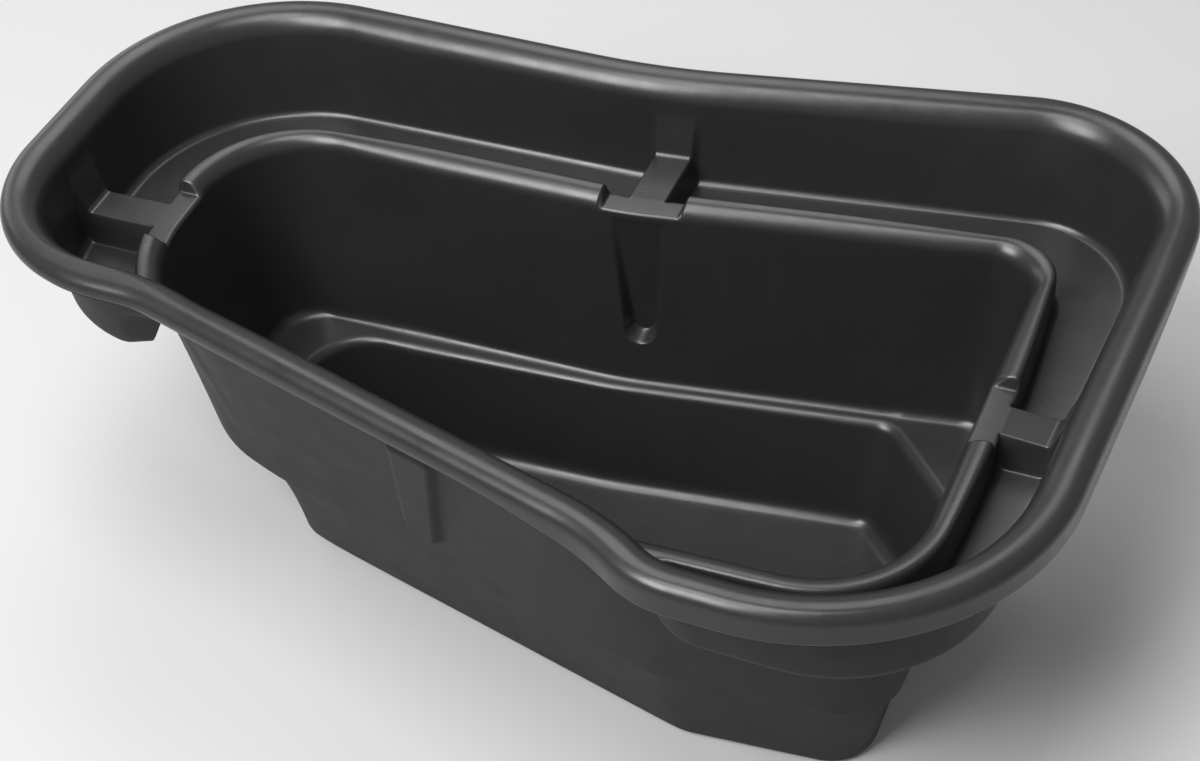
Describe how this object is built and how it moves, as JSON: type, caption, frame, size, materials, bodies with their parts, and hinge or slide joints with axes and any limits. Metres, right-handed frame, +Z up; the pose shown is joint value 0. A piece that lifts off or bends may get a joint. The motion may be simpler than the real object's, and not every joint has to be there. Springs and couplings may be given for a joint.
{
  "type": "oil drain pan",
  "caption": "Deep moulded black drain tub with a rolled rim, a drip gutter round a raised inner edge, flat T-shaped rest pads and a stepped sump.",
  "frame": {"origin": "on the floor under the centre of the overall footprint", "axes": "+Z up, +X along the long side towards the wider end with the front lobe, +Y towards the bowed back edge"},
  "size_m": [0.7802, 0.5208, 0.285],
  "materials": {
    "shell": "satin black moulded plastic, lightly scuffed"
  },
  "bodies": {
    "root": {"basin_wall_front": "shell", "basin_wall_left_back": "shell", "basin_wall_left_front": "shell", "basin_wall_right_back": "shell", "basin_wall_right_front": "shell", "bridge_back": "shell", "bridge_left": "shell", "bridge_right": "shell", "gutter_floor_left_back": "shell", "gutter_floor_left_front": "shell", "gutter_floor_right_back": "shell", "gutter_floor_right_front": "shell", "ledge_left": "shell", "ledge_right": "shell", "mid_shelf_front": "shell", "mid_shelf_left_back": "shell", "mid_shelf_left_front": "shell", "mid_shelf_right_back": "shell", "mid_shelf_right_front": "shell", "rib_back": "shell", "rib_front": "shell", "ridge_left_back": "shell", "ridge_left_front": "shell", "ridge_right_back": "shell", "ridge_right_front": "shell", "rim_front": "shell", "rim_left_back": "shell", "rim_left_front": "shell", "rim_right_back": "shell", "rim_right_front": "shell", "sump_floor": "shell", "sump_wall_front": "shell", "sump_wall_left_back": "shell", "sump_wall_left_front": "shell", "sump_wall_right_back": "shell", "sump_wall_right_front": "shell", "tub_wall_front": "shell", "tub_wall_left_back": "shell", "tub_wall_left_front": "shell", "tub_wall_right_back": "shell", "tub_wall_right_front": "shell"}
  },
  "joints": []
}
